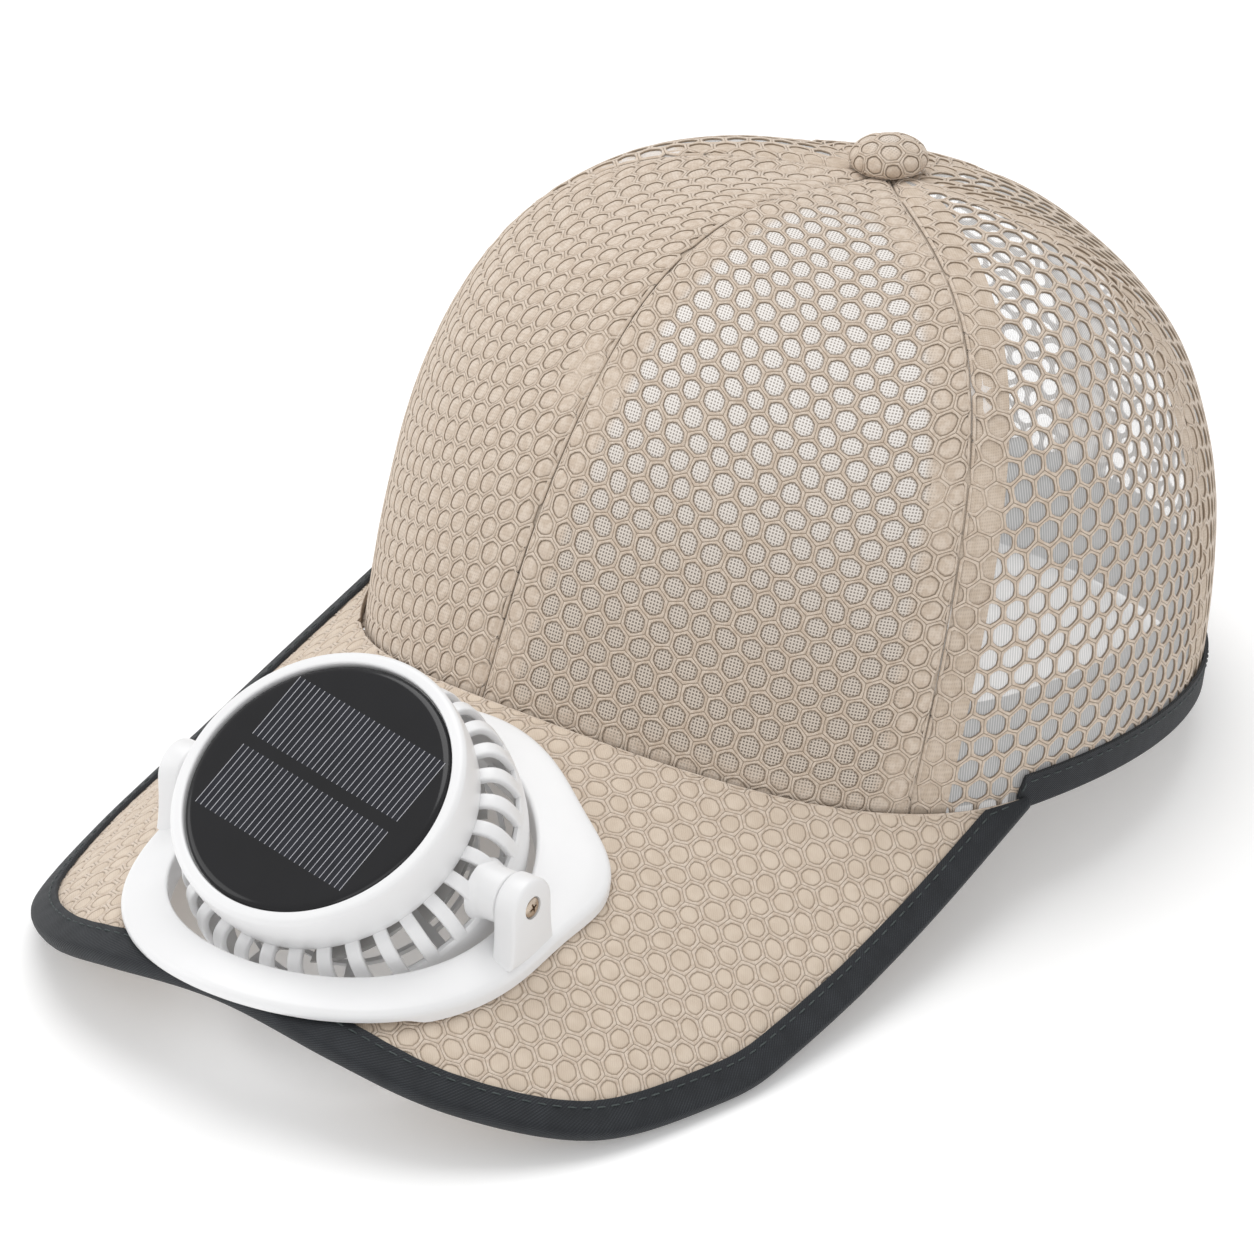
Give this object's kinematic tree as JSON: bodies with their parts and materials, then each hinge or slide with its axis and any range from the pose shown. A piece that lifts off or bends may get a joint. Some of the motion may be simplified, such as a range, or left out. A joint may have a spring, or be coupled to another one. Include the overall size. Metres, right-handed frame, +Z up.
{
  "type": "solar cap",
  "caption": "Six-panel mesh baseball cap in tan honeycomb net with dark binding and a tilting white fan with a solar panel set into its visor.",
  "frame": {"origin": "on the floor under the middle of the cap's bounding box, with the cap standing on its visor's two front corners and the crown's rear edge", "axes": "+Z up, -Y the way the visor points, +X to the wearer's left"},
  "size_m": [0.1752, 0.2848, 0.1202],
  "materials": {
    "mesh": "tan polyester honeycomb mesh over a fine net",
    "sweatband_cloth": "dark grey sweatband cloth",
    "binding_cloth": "dark slate twill tape",
    "white_plastic": "white satin moulding",
    "solar_glass": "glossy black resin over two rows of solar cells",
    "impeller_plastic": "greyish translucent moulding",
    "screw_steel": "bronze-toned plated steel"
  },
  "bodies": {
    "cap": {"front_panel_left": "mesh", "front_panel_right": "mesh", "side_panel_left": "mesh", "side_panel_right": "mesh", "rear_panel_left": "mesh", "rear_panel_right": "mesh", "button": "mesh", "sweatband": "sweatband_cloth", "visor": "mesh", "visor_binding": "binding_cloth", "rim_binding": "binding_cloth", "fan_plate": "white_plastic", "pivot_screw_left": "screw_steel", "pivot_screw_right": "screw_steel"},
    "fan_head": {"fan_housing": "white_plastic", "solar_panel": "solar_glass"},
    "impeller": {"impeller": "impeller_plastic"}
  },
  "joints": [
    {"name": "fan_tilt", "type": "hinge", "parent": "cap", "child": "fan_head", "pos_m": [0, -0.09747, 0.03796], "axis": [1, 0, 0], "range_deg": [-40, 10]},
    {"name": "fan_spin", "type": "hinge", "parent": "fan_head", "child": "impeller", "pos_m": [0, -0.09747, 0.03796], "axis": [0, -0.5373, 0.8434], "continuous": true}
  ]
}
